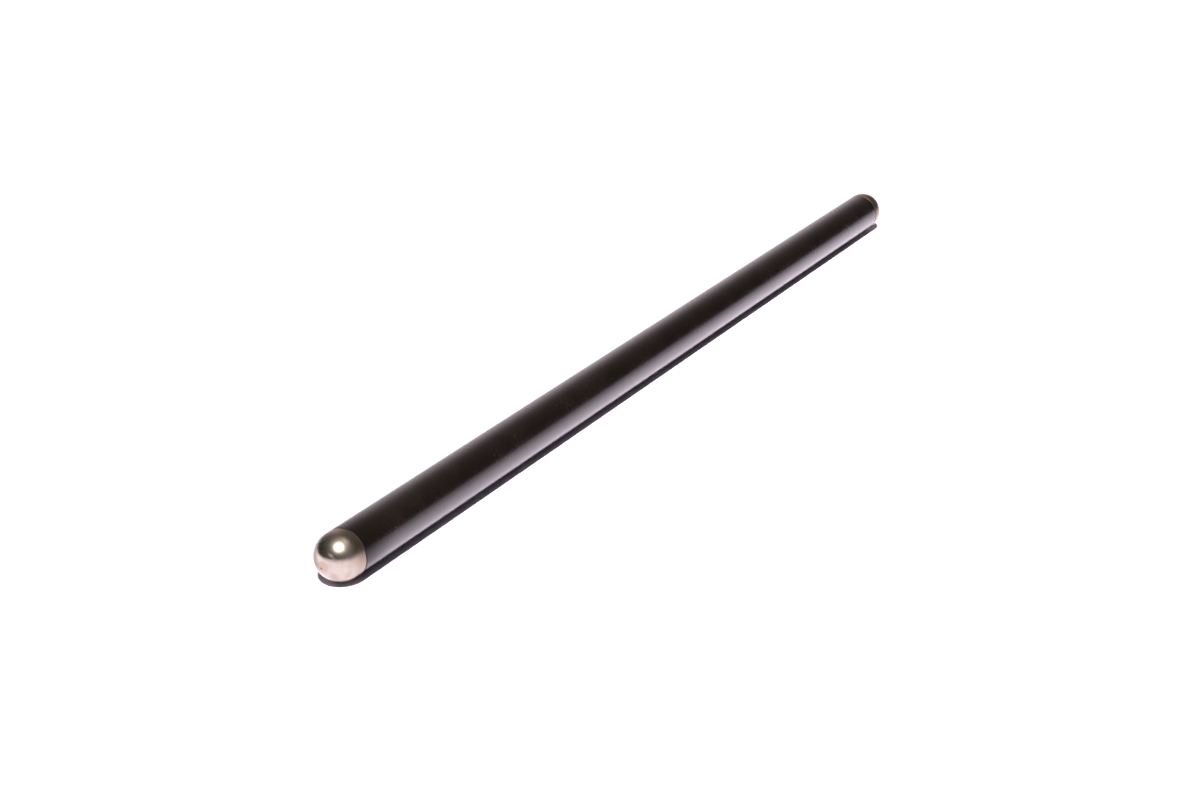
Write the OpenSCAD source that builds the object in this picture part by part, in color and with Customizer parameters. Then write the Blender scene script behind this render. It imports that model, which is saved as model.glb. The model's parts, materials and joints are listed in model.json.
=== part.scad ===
// Engine pushrod: a seamless steel tube with a solid ball end pressed into each end of its bore.
// The rod lies along X, resting on Z = 0, with the origin under the middle of its length.

/* [Rod] */
// Length of the whole rod, from one pole flat to the other
overall_len = 198.12; // [80:0.01:300]

/* [Tube] */
// Outside diameter of the tube
tube_d = 7.94; // [6.4:0.01:11]
// Thickness of the tube's wall
tube_wall = 2.03; // [0.9:0.01:2.8]
// Break on the outer edge of each tube end
tube_edge = 0.15; // [0.05:0.01:0.4]
// Lead-in chamfer at each mouth of the bore
bore_lead = 0.3; // [0.1:0.05:0.8]

/* [Ball ends] */
// Diameter of the ball and of the land behind it
ball_d = 7.94; // [5.5:0.01:12.7]
// Diameter of the small flat ground on the pole of the ball
flat_d = 1.8; // [0.6:0.1:4]
// Length of the straight land between the ball and the tube
land_len = 1.25; // [0.5:0.05:4]
// Break on the edge of the land, where it meets the tube
land_edge = 0.1; // [0.05:0.01:0.4]
// Length of the shank inside the tube
shank_len = 12; // [4:0.5:25]
// Lead-in chamfer on the nose of the shank
shank_lead = 0.4; // [0.1:0.05:1]
// Radial gap between the shank and the bore
shank_gap = 0.01; // [0.005:0.005:0.05]

/* [Hidden] */
$fn = 96;

tube_r = tube_d / 2;
bore_r = tube_r - tube_wall;
ball_r = ball_d / 2;
flat_r = flat_d / 2;
shank_r = bore_r - shank_gap;

// Height of the pole flat above the ball's equator
pole_h = sqrt(ball_r * ball_r - flat_r * flat_r);
// What each ball end adds to the tube's length
end_len = pole_h + land_len;
// From the middle of the rod to each end face of the tube
tube_half = overall_len / 2 - end_len;
// The rod lies on its widest piece
axis_z = max(tube_r, ball_r);

tube_colour = [0.12, 0.10, 0.09];
ball_colour = [0.80, 0.75, 0.71];

// Half section of the tube: radius across, length up and down from its middle
module tube_section() {
    polygon([
        [bore_r, bore_lead - tube_half],
        [bore_r + bore_lead, -tube_half],
        [tube_r - tube_edge, -tube_half],
        [tube_r, tube_edge - tube_half],
        [tube_r, tube_half - tube_edge],
        [tube_r - tube_edge, tube_half],
        [bore_r + bore_lead, tube_half],
        [bore_r, tube_half - bore_lead]
    ]);
}

// Quarter of the ball, cut off square at its pole flat
module ball_section() {
    intersection() {
        circle(ball_r);
        translate([0, -pole_h])
            square([ball_r, pole_h]);
    }
}

// Half section of the land, its shoulder and the shank behind it
module shank_section() {
    shank_end = land_len + shank_len;
    polygon([
        [0, 0],
        [ball_r, 0],
        [ball_r, land_len - land_edge],
        [ball_r - land_edge, land_len],
        [shank_r, land_len],
        [shank_r, shank_end - shank_lead],
        [shank_r - shank_lead, shank_end],
        [0, shank_end]
    ]);
}

// Ball end with its equator at zero, its pole towards -X and its shank towards +X
module ball_end() {
    color(ball_colour)
        rotate([0, 90, 0])
            rotate_extrude()
                union() {
                    ball_section();
                    shank_section();
                }
}

module tube() {
    color(tube_colour)
        translate([0, 0, axis_z])
            rotate([0, 90, 0])
                rotate_extrude()
                    tube_section();
}

// Each shoulder seats on its end of the tube
module rocker_ball_end() {
    translate([-tube_half - land_len, 0, axis_z])
        ball_end();
}

module lifter_ball_end() {
    mirror([1, 0, 0])
        rocker_ball_end();
}

tube();
rocker_ball_end();
lifter_ball_end();
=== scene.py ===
import json
from math import asin, cos, pi, radians, sin, tan

import bmesh
import bpy
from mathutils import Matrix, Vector


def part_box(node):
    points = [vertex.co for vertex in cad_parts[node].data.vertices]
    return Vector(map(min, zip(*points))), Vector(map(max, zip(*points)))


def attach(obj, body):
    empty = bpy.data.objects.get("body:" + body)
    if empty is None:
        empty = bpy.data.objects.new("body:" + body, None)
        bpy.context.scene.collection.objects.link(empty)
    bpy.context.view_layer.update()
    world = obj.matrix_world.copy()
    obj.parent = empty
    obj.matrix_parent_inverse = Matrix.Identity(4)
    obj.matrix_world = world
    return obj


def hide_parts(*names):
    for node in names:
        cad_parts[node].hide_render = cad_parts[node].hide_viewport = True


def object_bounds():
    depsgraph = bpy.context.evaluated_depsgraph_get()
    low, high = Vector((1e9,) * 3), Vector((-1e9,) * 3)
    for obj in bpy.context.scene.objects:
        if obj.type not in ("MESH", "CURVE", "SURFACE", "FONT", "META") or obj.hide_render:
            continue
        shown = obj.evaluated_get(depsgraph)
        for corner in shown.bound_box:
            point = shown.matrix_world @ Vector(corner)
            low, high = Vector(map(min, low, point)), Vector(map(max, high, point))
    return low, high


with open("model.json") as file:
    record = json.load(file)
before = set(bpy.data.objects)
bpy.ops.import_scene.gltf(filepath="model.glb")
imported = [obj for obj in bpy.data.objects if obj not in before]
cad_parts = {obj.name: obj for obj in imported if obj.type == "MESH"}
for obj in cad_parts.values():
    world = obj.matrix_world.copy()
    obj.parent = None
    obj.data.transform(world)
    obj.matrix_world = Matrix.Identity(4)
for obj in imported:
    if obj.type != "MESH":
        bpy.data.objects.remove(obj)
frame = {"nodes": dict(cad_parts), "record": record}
cadLow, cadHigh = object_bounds()
print("frame loaded:", ", ".join(sorted(frame["nodes"])))

mm = 0.001
guideSlot = next(m for m in frame["record"]["mounts"] if m["name"] == "guide_slot")
rodRadius = guideSlot["dims"]["r_mm"] * mm
rodAxis = Vector(guideSlot["pos_m"])  # middle of the rod, on its centreline
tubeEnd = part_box("tube")[1].x  # from the middle to either end face of the tube
poleEnd = cadHigh.x  # from the middle to either pole flat
edgeBlur = 0.02 * mm  # either side of an edge where the finish changes

# places of a Mix node's two inputs and of its result, for numbers and for colours
numberA, numberB, numberOut = 2, 3, 0
colourA, colourB, colourOut = 6, 7, 2


def linear(hexColour):
    channels = [int(hexColour[i:i + 2], 16) / 255 for i in (1, 3, 5)]
    return [c / 12.92 if c <= 0.04045 else ((c + 0.055) / 1.055) ** 2.4 for c in channels] + [1.0]


# an input is a number or colour, or the socket that feeds it
def addNode(tree, kind, inputs=None, **settings):
    node = tree.nodes.new(kind)
    for name, value in settings.items():
        setattr(node, name, value)
    for name, value in (inputs or {}).items():
        if isinstance(value, bpy.types.NodeSocket):
            tree.links.new(value, node.inputs[name])
        else:
            node.inputs[name].default_value = value
    return node


def newMaterial(name):
    material = bpy.data.materials.new(name)
    material.use_nodes = True
    material.node_tree.nodes.clear()
    return material, material.node_tree


# soft lines along one measure, each given as (place, width, weight), added up
def softLines(tree, measure, lines):
    total = 0.0
    for place, width, weight in lines:
        offset = addNode(tree, "ShaderNodeMath", {0: measure, 1: place}, operation="SUBTRACT")
        away = addNode(tree, "ShaderNodeMath", {0: offset.outputs[0]}, operation="ABSOLUTE")
        line = addNode(tree, "ShaderNodeMapRange",
                       {"Value": away.outputs[0], "From Min": width / 2, "From Max": 0.0, "To Max": weight},
                       interpolation_type="SMOOTHSTEP")
        both = addNode(tree, "ShaderNodeMath", {0: line.outputs["Result"], 1: total}, operation="ADD")
        total = both.outputs[0]
    return total


# Black-oxided steel: a thin dark oxide over a ground tube, sealed with oil. It looks warm black and half
# glossy, with faint rings left by the grinding wheel, a patchy sheen and a few specks of dust.
blackOxide = {
    "dark": "#060302",
    "brown": "#0C0604",
    "dust": "#4A423B",
    "nearColour": "#0B0806",
    "nearFade": 9 * mm,
    "ior": 1.6,
    "roughness": (0.23, 0.285),
    "endRoughness": 0.75,
    "gloss": 0.5,
    "nearGloss": 0.2,
    "endGloss": 0.2,
    "ringSpacing": 0.25 * mm,  # real ones are about 0.05 mm, drawn coarser so that they show
    "ringLength": 9 * mm,
    "ringDepth": 0.0016 * mm,
    "ringNoise": {"Detail": 3.0, "Roughness": 0.6},
    "patch": 5 * mm,
    "patchNoise": {"Detail": 4.0, "Roughness": 0.55},
    "patchRange": (0.35, 0.65),  # of the patches, from dark to brown
    "sheenRange": (0.7, 1.3),  # of rings and patches added up, from smooth to rough
    "dustSpacing": 1.8 * mm,
    "dustAcross": 0.2 * mm,
    "dustCore": 1 / 3,  # share of a speck's width that has its full colour
}


def blackOxideSteel():
    s = blackOxide
    material, tree = newMaterial("blackOxideSteel")
    place = addNode(tree, "ShaderNodeTexCoord").outputs["Object"]
    along, around = 1 / s["ringSpacing"], 1 / s["ringLength"]
    ringPlace = addNode(tree, "ShaderNodeMapping", {"Vector": place, "Scale": (along, around, around)})
    rings = addNode(tree, "ShaderNodeTexNoise",
                    {"Vector": ringPlace.outputs["Vector"], "Scale": 1.0, **s["ringNoise"]}).outputs["Fac"]
    patches = addNode(tree, "ShaderNodeTexNoise",
                      {"Vector": place, "Scale": 1 / s["patch"], **s["patchNoise"]}).outputs["Fac"]
    oxide = addNode(tree, "ShaderNodeValToRGB", {"Fac": patches})
    for stop, level, colour in zip(oxide.color_ramp.elements, s["patchRange"], (s["dark"], s["brown"])):
        stop.position = level
        stop.color = linear(colour)
    specks = addNode(tree, "ShaderNodeTexVoronoi", {"Vector": place, "Scale": 1 / s["dustSpacing"]})
    speckEdge = s["dustAcross"] / 2 / s["dustSpacing"]
    dust = addNode(tree, "ShaderNodeMapRange",
                   {"Value": specks.outputs["Distance"], "From Min": speckEdge,
                    "From Max": speckEdge * s["dustCore"]})
    dusty = addNode(tree, "ShaderNodeMix",
                    {"Factor": dust.outputs["Result"], colourA: oxide.outputs["Color"],
                     colourB: linear(s["dust"])}, data_type="RGBA")
    sheen = addNode(tree, "ShaderNodeMath", {0: rings, 1: patches}, operation="ADD")
    smooth, rough = s["sheenRange"]
    low, high = s["roughness"]
    roughness = addNode(tree, "ShaderNodeMapRange",
                        {"Value": sheen.outputs[0], "From Min": smooth, "From Max": rough,
                         "To Min": low, "To Max": high})
    # the broken edge and the end face are rough cut and hold dirt
    split = addNode(tree, "ShaderNodeSeparateXYZ", {"Vector": place})
    outward = addNode(tree, "ShaderNodeMath", {0: split.outputs["X"]}, operation="ABSOLUTE")
    edge = tubeEnd - tubeSizes["outerBreak"]
    endShare = addNode(tree, "ShaderNodeMapRange",
                       {"Value": outward.outputs[0], "From Min": edge - edgeBlur,
                        "From Max": edge + edgeBlur}).outputs["Result"]
    finish = addNode(tree, "ShaderNodeMix",
                     {"Factor": endShare, numberA: roughness.outputs["Result"], numberB: s["endRoughness"]})
    # beside the seam at the rocker's end the tube is given less gloss and one dark brown colour
    nearShare = addNode(tree, "ShaderNodeMapRange",
                        {"Value": split.outputs["X"], "From Min": s["nearFade"] - tubeEnd,
                         "From Max": -tubeEnd}, interpolation_type="SMOOTHSTEP").outputs["Result"]
    dulled = addNode(tree, "ShaderNodeMix",
                     {"Factor": nearShare, numberA: s["gloss"], numberB: s["nearGloss"]})
    gloss = addNode(tree, "ShaderNodeMix",
                    {"Factor": endShare, numberA: dulled.outputs[numberOut], numberB: s["endGloss"]})
    colour = addNode(tree, "ShaderNodeMix",
                     {"Factor": nearShare, colourA: dusty.outputs[colourOut],
                      colourB: linear(s["nearColour"])}, data_type="RGBA")
    bump = addNode(tree, "ShaderNodeBump", {"Height": rings, "Strength": 1.0, "Distance": s["ringDepth"]})
    shader = addNode(tree, "ShaderNodeBsdfPrincipled",
                     {"Base Color": colour.outputs[colourOut], "Roughness": finish.outputs[numberOut],
                      "IOR": s["ior"], "Specular IOR Level": gloss.outputs[numberOut], "Metallic": 0.0,
                      "Normal": bump.outputs["Normal"]})
    addNode(tree, "ShaderNodeOutputMaterial", {"Surface": shader.outputs["BSDF"]})
    return material


# Ground bearing steel, bare: a bright warm grey mirror, blurred by fine rings about the rod's axis and
# clouded by handling. It goes straw coloured towards the seam, with brown stain lines there. A few deeper
# turning marks catch the lamp, and the flat at the pole is dull, with one dark speck on its rim.
groundSteelLook = {
    "bright": "#979287",
    "cloudy": "#8D8179",
    "straw": "#807364",
    "stain": "#65513F",
    "dull": "#908274",
    "seam": "#3C2B20",
    "speck": "#2A140A",
    "poleRoughness": 0.17,
    "landRoughness": 0.335,
    "seamRoughness": 0.55,
    "polishRange": (25, 75),  # degrees from the pole, from the pole's roughness to the land's
    "strawRange": (55, 104),  # degrees from the pole, over which the tint comes in
    "ringSpacing": 0.2 * mm,  # real ones are about 0.02 mm, drawn coarser so that they show
    "ringLength": 3 * mm,
    "ringDepth": 0.0012 * mm,
    "ringNoise": {"Detail": 4.0, "Roughness": 0.65},
    "cloud": 1.3 * mm,
    "cloudNoise": {"Detail": 3.0, "Roughness": 0.6},
    "cloudRange": (0.4, 0.72),  # of the clouds, from clear to cloudy
    # angle from the pole in degrees, width and depth
    "turnMarks": (
        (31.5, 0.10 * mm, 0.0135 * mm),
        (34.5, 0.08 * mm, 0.0094 * mm),
        (74.5, 0.12 * mm, 0.006 * mm),
        (78.0, 0.12 * mm, 0.010 * mm),
        (82.0, 0.12 * mm, 0.013 * mm),
        (85.5, 0.10 * mm, 0.011 * mm),
    ),
    # where the marks are deepest, from the middle of the rod, and how far they stay deep and run out
    "markSpot": (-97.29 * mm, -1.61 * mm, 2.96 * mm),
    "markReach": (1.4 * mm, 2.5 * mm),
    # distance from the seam, width and share of stain
    "stains": ((0.3 * mm, 0.3 * mm, 1.0), (0.75 * mm, 0.25 * mm, 0.8), (1.3 * mm, 0.3 * mm, 0.6)),
    "rimWear": 0.7 * mm,  # how far the clouds push the flat's rim about
    "rimBlur": (0.15 * mm, 0.3 * mm),  # outside and inside the rim
    "speckPlace": (0.50 * mm, -0.45 * mm),  # Y and Z from the centreline, on the flat's rim
    "speckAcross": 0.5 * mm,
}


def groundSteel():
    s = groundSteelLook
    material, tree = newMaterial("groundSteel")
    place = addNode(tree, "ShaderNodeTexCoord").outputs["Object"]
    centred = addNode(tree, "ShaderNodeMapping", {"Vector": place, "Location": -rodAxis}).outputs["Vector"]
    split = addNode(tree, "ShaderNodeSeparateXYZ", {"Vector": centred})
    # both ends share the finish, so the place along the rod counts outwards from either ball's centre
    outward = addNode(tree, "ShaderNodeMath", {0: split.outputs["X"]}, operation="ABSOLUTE")
    height = addNode(tree, "ShaderNodeMath",
                     {0: outward.outputs[0], 1: ballCentre}, operation="SUBTRACT").outputs[0]
    flat = addNode(tree, "ShaderNodeCombineXYZ",
                   {"Y": split.outputs["Y"], "Z": split.outputs["Z"]}).outputs["Vector"]
    reach = addNode(tree, "ShaderNodeVectorMath", {0: flat}, operation="LENGTH").outputs["Value"]
    polar = addNode(tree, "ShaderNodeMath", {0: reach, 1: height}, operation="ARCTAN2").outputs[0]
    arc = addNode(tree, "ShaderNodeMath", {0: polar, 1: rodRadius / s["ringSpacing"]}, operation="MULTIPLY")
    around = addNode(tree, "ShaderNodeVectorMath",
                     {0: flat, "Scale": 1 / s["ringLength"]}, operation="SCALE")
    turn = addNode(tree, "ShaderNodeSeparateXYZ", {"Vector": around.outputs["Vector"]})
    ringPlace = addNode(tree, "ShaderNodeCombineXYZ",
                        {"X": arc.outputs[0], "Y": turn.outputs["Y"], "Z": turn.outputs["Z"]})
    rings = addNode(tree, "ShaderNodeTexNoise",
                    {"Vector": ringPlace.outputs["Vector"], "Scale": 1.0, **s["ringNoise"]})
    clouds = addNode(tree, "ShaderNodeTexNoise",
                     {"Vector": place, "Scale": 1 / s["cloud"], **s["cloudNoise"]}).outputs["Fac"]
    clear, cloudy = s["cloudRange"]
    cloudShare = addNode(tree, "ShaderNodeMapRange",
                         {"Value": clouds, "From Min": clear, "From Max": cloudy}).outputs["Result"]
    clouded = addNode(tree, "ShaderNodeMix",
                      {"Factor": cloudShare, colourA: linear(s["bright"]), colourB: linear(s["cloudy"])},
                      data_type="RGBA")
    # straw tint grows from half way down the ball to the seam
    start, full = s["strawRange"]
    tint = addNode(tree, "ShaderNodeMapRange",
                   {"Value": polar, "From Min": radians(start), "From Max": radians(full)},
                   interpolation_type="SMOOTHSTEP")
    steel = addNode(tree, "ShaderNodeMix",
                    {"Factor": tint.outputs["Result"], colourA: clouded.outputs[colourOut],
                     colourB: linear(s["straw"])}, data_type="RGBA")
    # stain lines follow the seam and come and go round the land
    fromSeam = addNode(tree, "ShaderNodeMath", {0: height, 1: ballSizes["land"]}, operation="ADD")
    stainLines = softLines(tree, fromSeam.outputs[0], s["stains"])
    stainShare = addNode(tree, "ShaderNodeMath", {0: stainLines, 1: cloudShare}, operation="MULTIPLY")
    stained = addNode(tree, "ShaderNodeMix",
                      {"Factor": stainShare.outputs[0], colourA: steel.outputs[colourOut],
                       colourB: linear(s["stain"])}, data_type="RGBA")
    # the pole flat is ground dull, with a worn, uneven rim and one dark speck on it
    worn = addNode(tree, "ShaderNodeMath", {0: clouds, 1: s["rimWear"], 2: reach}, operation="MULTIPLY_ADD")
    rim = ballSizes["flatAcross"] / 2 + s["rimWear"] / 2  # the clouds average about a half
    outside, inside = s["rimBlur"]
    flatShare = addNode(tree, "ShaderNodeMapRange",
                        {"Value": worn.outputs[0], "From Min": rim + outside, "From Max": rim - inside})
    outer = addNode(tree, "ShaderNodeMath", {0: height, 1: 0.0}, operation="GREATER_THAN")
    pole = addNode(tree, "ShaderNodeMath",
                   {0: flatShare.outputs["Result"], 1: outer.outputs[0]}, operation="MULTIPLY")
    poled = addNode(tree, "ShaderNodeMix",
                    {"Factor": pole.outputs[0], colourA: stained.outputs[colourOut],
                     colourB: linear(s["dull"])}, data_type="RGBA")
    fromSpeck = addNode(tree, "ShaderNodeVectorMath",
                        {0: centred, 1: (-poleEnd, *s["speckPlace"])}, operation="DISTANCE")
    speckShare = addNode(tree, "ShaderNodeMapRange",
                         {"Value": fromSpeck.outputs["Value"], "From Min": s["speckAcross"] / 2,
                          "From Max": 0.0})
    colour = addNode(tree, "ShaderNodeMix",
                     {"Factor": speckShare.outputs["Result"], colourA: poled.outputs[colourOut],
                      colourB: linear(s["speck"])}, data_type="RGBA")
    # the polish is best near the pole and gives way to grinding towards the seam
    fine, coarse = s["polishRange"]
    polish = addNode(tree, "ShaderNodeMapRange",
                     {"Value": polar, "From Min": radians(fine), "From Max": radians(coarse),
                      "To Min": s["poleRoughness"], "To Max": s["landRoughness"]})
    # past the land the broken edge is left rough and brown
    edge = ballSizes["landBreak"] - ballSizes["land"]
    seamShare = addNode(tree, "ShaderNodeMapRange",
                        {"Value": height, "From Min": edge + edgeBlur,
                         "From Max": edge - edgeBlur}).outputs["Result"]
    finish = addNode(tree, "ShaderNodeMix",
                     {"Factor": seamShare, numberA: polish.outputs["Result"], numberB: s["seamRoughness"]})
    coat = addNode(tree, "ShaderNodeMix",
                   {"Factor": seamShare, colourA: colour.outputs[colourOut], colourB: linear(s["seam"])},
                   data_type="RGBA")
    # turning marks are shallow grooves, worn away all but round one spot
    marks = softLines(tree, polar, [(radians(angle), width / rodRadius, depth)
                                    for angle, width, depth in s["turnMarks"]])
    fromSpot = addNode(tree, "ShaderNodeVectorMath", {0: centred, 1: s["markSpot"]}, operation="DISTANCE")
    deep, gone = s["markReach"]
    left = addNode(tree, "ShaderNodeMapRange",
                   {"Value": fromSpot.outputs["Value"], "From Min": gone, "From Max": deep},
                   interpolation_type="SMOOTHSTEP")
    grooves = addNode(tree, "ShaderNodeMath", {0: marks, 1: left.outputs["Result"]}, operation="MULTIPLY")
    ground = addNode(tree, "ShaderNodeBump",
                     {"Height": rings.outputs["Fac"], "Strength": 1.0, "Distance": s["ringDepth"]})
    # the grooves' depth is already a length, so this bump keeps it as it is
    bump = addNode(tree, "ShaderNodeBump",
                   {"Height": grooves.outputs[0], "Strength": 1.0, "Distance": 1.0,
                    "Normal": ground.outputs["Normal"]}, invert=True)
    shader = addNode(tree, "ShaderNodeBsdfPrincipled",
                     {"Base Color": coat.outputs[colourOut], "Roughness": finish.outputs[numberOut],
                      "Metallic": 1.0, "Normal": bump.outputs["Normal"]})
    addNode(tree, "ShaderNodeOutputMaterial", {"Surface": shader.outputs["BSDF"]})
    return material


# turns a drawn half section about the rod and softens its corners
def turnSection(bm, sizes):
    bmesh.ops.spin(bm, geom=bm.verts[:] + bm.edges[:], cent=rodAxis, axis=(1, 0, 0), angle=2 * pi,
                   steps=sizes["ringSteps"], use_merge=True)
    bmesh.ops.remove_doubles(bm, verts=bm.verts, dist=0.0001 * mm)
    bmesh.ops.recalc_face_normals(bm, faces=bm.faces)
    sharp = radians(sizes["cornerAngle"])
    corners = [e for e in bm.edges if e.is_manifold and e.calc_face_angle() > sharp]
    bmesh.ops.bevel(bm, geom=corners, offset=sizes["softEdge"], offset_type="OFFSET", affect="EDGES",
                    segments=3, profile=0.5, material=-1)
    for face in bm.faces:
        face.smooth = True


def keepPiece(bm, name, material, node):
    mesh = bpy.data.meshes.new(name)
    bm.to_mesh(mesh)
    bm.free()
    mesh.materials.append(material)
    piece = bpy.data.objects.new(name, mesh)
    bpy.context.scene.collection.objects.link(piece)
    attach(piece, "root")
    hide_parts(node)
    print("piece:", name, len(mesh.polygons), "faces")


# a point of a half section, by its place along the rod and its distance from the centreline
def sectionPoint(bm, along, out):
    return bm.verts.new((along, 0.0, rodAxis.z + out))


def joinPoints(bm, points):
    return [bm.edges.new(pair) for pair in zip(points, points[1:])]


tubeSizes = {
    "wall": 2.03 * mm,
    "outerBreak": 0.15 * mm,
    "boreLead": 0.3 * mm,
    "softEdge": 0.03 * mm,
    "cornerAngle": 20,  # degrees past which an edge is softened
    "holdLoop": 0.2 * mm,  # an extra loop beside each corner keeps the long faces straight in the light
    "ringSteps": 192,
    "lengthCuts": 46,
}


def makeTube(material):
    s = tubeSizes
    bore = rodRadius - s["wall"]
    bm = bmesh.new()
    outside, inside = [], []
    for side in (-1, 1):
        end = side * tubeEnd
        shoulder = end - side * s["outerBreak"]
        mouth = end - side * s["boreLead"]
        points = [sectionPoint(bm, along, out) for along, out in (
            (mouth - side * s["holdLoop"], bore),
            (mouth, bore),
            (end, bore + s["boreLead"]),
            (end, rodRadius - s["outerBreak"]),
            (shoulder, rodRadius),
            (shoulder - side * s["holdLoop"], rodRadius),
        )]
        joinPoints(bm, points)
        inside.append(points[0])
        outside.append(points[-1])
    runs = joinPoints(bm, inside) + joinPoints(bm, outside)
    bmesh.ops.subdivide_edges(bm, edges=runs, cuts=s["lengthCuts"])
    turnSection(bm, s)
    keepPiece(bm, "blackTube", material, "tube")


ballSizes = {
    "flatAcross": 1.8 * mm,
    "land": 1.25 * mm,
    "landBreak": 0.1 * mm,
    "shank": 12.0 * mm,
    "shankLead": 0.4 * mm,
    "shankGap": 0.01 * mm,
    "softEdge": 0.025 * mm,
    "cornerAngle": 10,  # degrees past which an edge is softened
    "holdLoop": 0.12 * mm,
    "arcSteps": 72,
    "ringSteps": 192,
}
ballCentre = tubeEnd + ballSizes["land"]  # from the middle of the rod to either ball's centre


def makeBallEnd(name, side, node, material):
    s = ballSizes
    flat = s["flatAcross"] / 2
    shank = rodRadius - tubeSizes["wall"] - s["shankGap"]
    pole = side * poleEnd
    seam = side * tubeEnd
    edge = seam + side * s["landBreak"]
    nose = seam - side * s["shank"]
    bm = bmesh.new()
    rim = sectionPoint(bm, pole, flat)
    joinPoints(bm, [sectionPoint(bm, pole, 0.0), sectionPoint(bm, pole, flat - s["holdLoop"]), rim])
    # the ball's arc runs from the rim of the flat down to the equator
    arc = bmesh.ops.spin(bm, geom=[rim], cent=(side * ballCentre, 0, rodAxis.z), axis=(0, -side, 0),
                         angle=pi / 2 - asin(flat / rodRadius), steps=s["arcSteps"])
    equator = next(v for v in arc["geom_last"] if isinstance(v, bmesh.types.BMVert))
    joinPoints(bm, [equator] + [sectionPoint(bm, along, out) for along, out in (
        (edge + side * s["holdLoop"], rodRadius),
        (edge, rodRadius),
        (seam, rodRadius - s["landBreak"]),
        (seam, shank),
        (nose + side * s["shankLead"], shank),
        (nose, shank - s["shankLead"]),
        (nose, 0.0),
    )])
    turnSection(bm, s)
    keepPiece(bm, name, material, node)


makeTube(blackOxideSteel())
steel = groundSteel()
makeBallEnd("rockerBall", -1, "rocker_ball_end", steel)
makeBallEnd("lifterBall", 1, "lifter_ball_end", steel)


# directions are an azimuth turned from +X towards +Y and a height above the horizon, in degrees
def direction(azimuth, height):
    a, h = radians(azimuth), radians(height)
    return Vector((cos(h) * cos(a), cos(h) * sin(a), sin(h)))


# Floor: a sheet of pale card, lit past white. Its colour is painted brighter close to the rod and past the
# rocker's end, a painted pool of light, and plainer further off. A plainer strip under the rod is painted
# shade.
floorLook = {
    "bright": "#E7E2F3",
    "plain": "#A19EAB",
    # each fade runs from bright to plain, at the edge of the painted pool of light
    "backFade": (-2 * mm, 9 * mm),
    "frontFade": (-2 * mm, -28 * mm),
    "endFade": (-108 * mm, -98 * mm),
    "sideFade": (-86 * mm, -76 * mm),
    "sideAzimuth": 35.0,
    "paintedShadeStrip": (-1.0 * mm, 4.8 * mm, 1.0),  # place, width and share of the plain strip, painted shade that deepens the shadow under the rod
    "paintedShadeEnd": (98 * mm, 85 * mm),  # over which the painted shade strip comes in, from the far end, so the shadow under the far ball is left lighter
    "across": 12.0,  # metres
}


def makeFloor():
    s = floorLook
    material, tree = newMaterial("paleCard")
    place = addNode(tree, "ShaderNodeTexCoord").outputs["Object"]
    split = addNode(tree, "ShaderNodeSeparateXYZ", {"Vector": place})
    slant = addNode(tree, "ShaderNodeVectorMath",
                    {0: place, 1: direction(s["sideAzimuth"], 0.0)}, operation="DOT_PRODUCT")
    fades = {}
    for name, measure in (("backFade", split.outputs["Y"]), ("frontFade", split.outputs["Y"]),
                          ("endFade", split.outputs["X"]), ("sideFade", slant.outputs["Value"]),
                          ("paintedShadeEnd", split.outputs["X"])):
        start, end = s[name]
        fade = addNode(tree, "ShaderNodeMapRange", {"Value": measure, "From Min": start, "From Max": end},
                       interpolation_type="SMOOTHSTEP")
        fades[name] = fade.outputs["Result"]
    # a plain strip under the rod is painted shade: it deepens the shadow there and stops short of the far
    # end
    paintedShadeLine = softLines(tree, split.outputs["Y"], [s["paintedShadeStrip"]])
    paintedShadeShare = addNode(tree, "ShaderNodeMath", {0: paintedShadeLine, 1: fades["paintedShadeEnd"]}, operation="MULTIPLY")
    # close to the rod and past the rocker's end the card is painted bright, a painted pool of light
    clear = addNode(tree, "ShaderNodeMath",
                    {0: fades["backFade"], 1: fades["frontFade"]}, operation="MAXIMUM")
    beside = addNode(tree, "ShaderNodeMath",
                     {0: clear.outputs[0], 1: paintedShadeShare.outputs[0]}, operation="MAXIMUM")
    within = addNode(tree, "ShaderNodeMath",
                     {0: fades["endFade"], 1: fades["sideFade"]}, operation="MINIMUM")
    away = addNode(tree, "ShaderNodeMath",
                   {0: beside.outputs[0], 1: within.outputs[0]}, operation="MULTIPLY")
    colour = addNode(tree, "ShaderNodeMix",
                     {"Factor": away.outputs[0], colourA: linear(s["bright"]), colourB: linear(s["plain"])},
                     data_type="RGBA")
    shader = addNode(tree, "ShaderNodeBsdfDiffuse", {"Color": colour.outputs[colourOut]})
    addNode(tree, "ShaderNodeOutputMaterial", {"Surface": shader.outputs["BSDF"]})
    bm = bmesh.new()
    bmesh.ops.create_grid(bm, x_segments=1, y_segments=1, size=s["across"] / 2)
    mesh = bpy.data.meshes.new("floor")
    bm.to_mesh(mesh)
    bm.free()
    mesh.materials.append(material)
    floor = bpy.data.objects.new("floor", mesh)
    bpy.context.scene.collection.objects.link(floor)
    print("floor laid")


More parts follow.
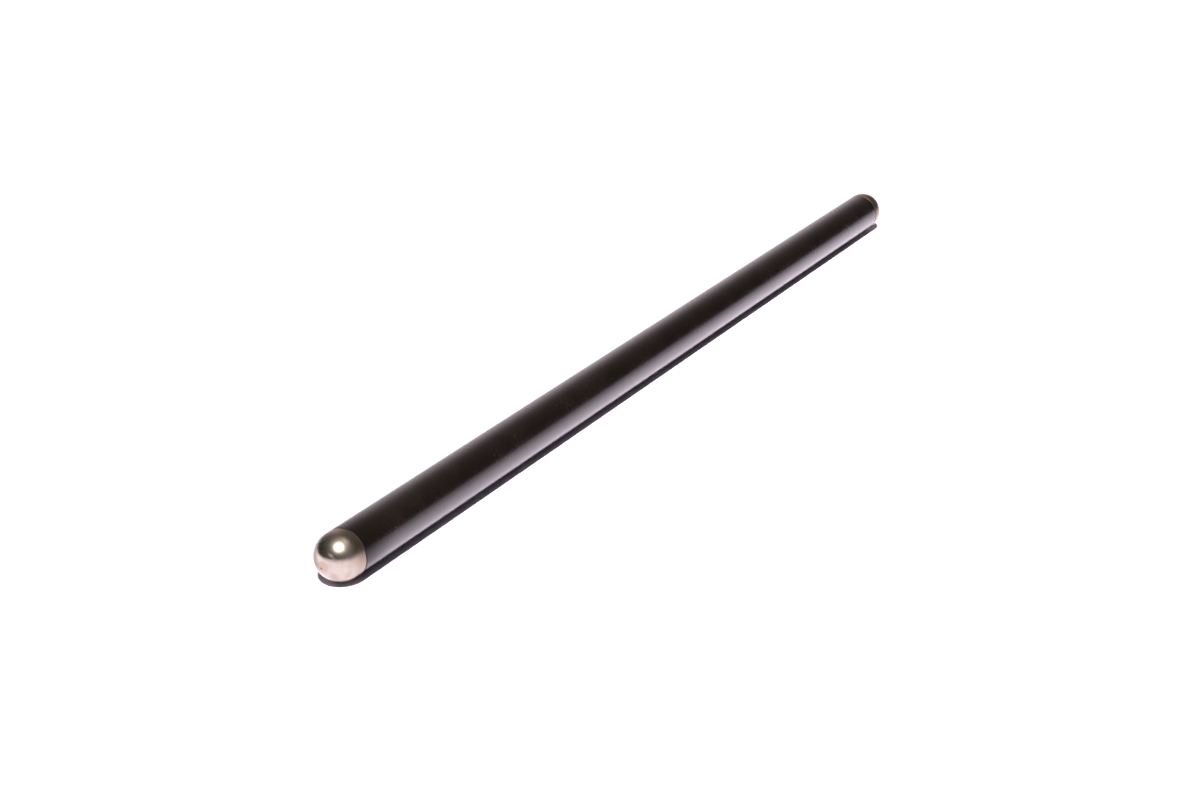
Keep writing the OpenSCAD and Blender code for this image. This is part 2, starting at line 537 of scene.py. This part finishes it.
# Light: one small strong lamp high above the camera, a pale backdrop past the far end, a faint fill overhead
# and another on the camera's left, and card that rises a little behind the camera, where the near ball
# mirrors it. The background is a plain wall.
lightSet = {
    "lampAzimuth": -151.0,
    "lampHeight": 64.1,
    "lampAcross": 6.0,  # degrees, which sets how soft the shadow's edge is
    "lampStrength": 11.7,
    "lampColour": "#FFF7F3",
    "backdrop": {"azimuth": 37.8, "height": 9.0, "tightness": 11.0, "strength": 1.2, "colour": "#FFEEF1"},
    "fill": {"azimuth": -135.0, "height": 80.0, "tightness": 3.0, "strength": 0.28, "colour": "#FFF6F0"},
    "side": {"azimuth": 165.0, "height": 28.0, "tightness": 6.0, "strength": 0.14, "colour": "#FFF6F0"},
    "cardAzimuth": -155.0,
    "cardTilt": 9.5,  # degrees that its top edge leans
    "cardLift": 0.8,  # degrees that the whole edge is raised
    "cardBlur": 1.5,  # degrees either side of the edge
    "cardStrength": 1.8,
    "cardColour": "#FFF4F6",
    "roomColour": "#242323",
    "backgroundColour": "#FFFFFF",
}


def makeLight():
    s = lightSet
    lamp = bpy.data.lights.new("lamp", "SUN")
    lamp.energy = s["lampStrength"]
    lamp.angle = radians(s["lampAcross"])
    lamp.color = linear(s["lampColour"])[:3]
    holder = bpy.data.objects.new("lamp", lamp)
    holder.rotation_mode = "QUATERNION"
    holder.rotation_quaternion = direction(s["lampAzimuth"], s["lampHeight"]).to_track_quat("Z", "Y")
    bpy.context.scene.collection.objects.link(holder)

    world = bpy.data.worlds.new("studio")
    world.use_nodes = True
    tree = world.node_tree
    tree.nodes.clear()
    look = addNode(tree, "ShaderNodeTexCoord").outputs["Generated"]
    light = addNode(tree, "ShaderNodeBackground", {"Color": linear(s["roomColour"])}).outputs[0]
    # a soft patch of light, strongest in one direction
    for patch in (s["backdrop"], s["fill"], s["side"]):
        middle = direction(patch["azimuth"], patch["height"])
        facing = addNode(tree, "ShaderNodeVectorMath", {0: look, 1: middle}, operation="DOT_PRODUCT")
        away = addNode(tree, "ShaderNodeMath", {0: facing.outputs["Value"], 1: 1.0}, operation="SUBTRACT")
        spread = addNode(tree, "ShaderNodeMath",
                         {0: away.outputs[0], 1: patch["tightness"]}, operation="MULTIPLY")
        glow = addNode(tree, "ShaderNodeMath", {0: spread.outputs[0]}, operation="EXPONENT")
        strength = addNode(tree, "ShaderNodeMath",
                           {0: glow.outputs[0], 1: patch["strength"]}, operation="MULTIPLY")
        patchLight = addNode(tree, "ShaderNodeBackground",
                             {"Color": linear(patch["colour"]), "Strength": strength.outputs[0]})
        light = addNode(tree, "ShaderNodeAddShader", {0: light, 1: patchLight.outputs[0]}).outputs[0]
    # the card's top edge is a tilted horizon
    slope = direction(s["cardAzimuth"], 0.0) * tan(radians(s["cardTilt"])) - Vector((0.0, 0.0, 1.0))
    below = addNode(tree, "ShaderNodeVectorMath", {0: look, 1: slope}, operation="DOT_PRODUCT")
    edge, blur = -sin(radians(s["cardLift"])), sin(radians(s["cardBlur"]))
    card = addNode(tree, "ShaderNodeMapRange",
                   {"Value": below.outputs["Value"], "From Min": edge - blur, "From Max": edge + blur,
                    "To Max": s["cardStrength"]}, interpolation_type="SMOOTHSTEP")
    cardLight = addNode(tree, "ShaderNodeBackground",
                        {"Color": linear(s["cardColour"]), "Strength": card.outputs["Result"]})
    light = addNode(tree, "ShaderNodeAddShader", {0: light, 1: cardLight.outputs[0]}).outputs[0]
    # past the floor's edge the camera sees plain white, as in a studio with a white wall
    direct = addNode(tree, "ShaderNodeLightPath").outputs["Is Camera Ray"]
    wall = addNode(tree, "ShaderNodeBackground", {"Color": linear(s["backgroundColour"])}).outputs[0]
    light = addNode(tree, "ShaderNodeMixShader", {0: direct, 1: light, 2: wall}).outputs[0]
    addNode(tree, "ShaderNodeOutputWorld", {"Surface": light})
    bpy.context.scene.world = world
    print("light set")


# Camera: without roll, above and past the rocker's end, looking down along the rod
cameraSet = {
    "place": Vector((-282.79, -158.51, 137.32)) * mm,
    "azimuth": 31.161,
    "height": -24.005,
    "focalPixels": 1857.8,
    "imageWide": 1200.0,  # pixels
    "sensor": 36.0,  # millimetres, as the lens is
    "clip": (0.01, 50.0),  # metres
}


def makeCamera():
    s = cameraSet
    camera = bpy.data.cameras.new("camera")
    camera.sensor_fit = "HORIZONTAL"
    camera.sensor_width = s["sensor"]
    camera.lens = s["sensor"] * s["focalPixels"] / s["imageWide"]
    camera.clip_start, camera.clip_end = s["clip"]
    holder = bpy.data.objects.new("camera", camera)
    holder.location = s["place"]
    holder.rotation_mode = "QUATERNION"
    holder.rotation_quaternion = direction(s["azimuth"], s["height"]).to_track_quat("-Z", "Y")
    bpy.context.scene.collection.objects.link(holder)
    bpy.context.scene.camera = holder
    print("camera set")


makeFloor()
makeLight()
makeCamera()
bpy.context.scene.view_settings.view_transform = "Standard"
bpy.context.scene.cycles.use_denoising = True
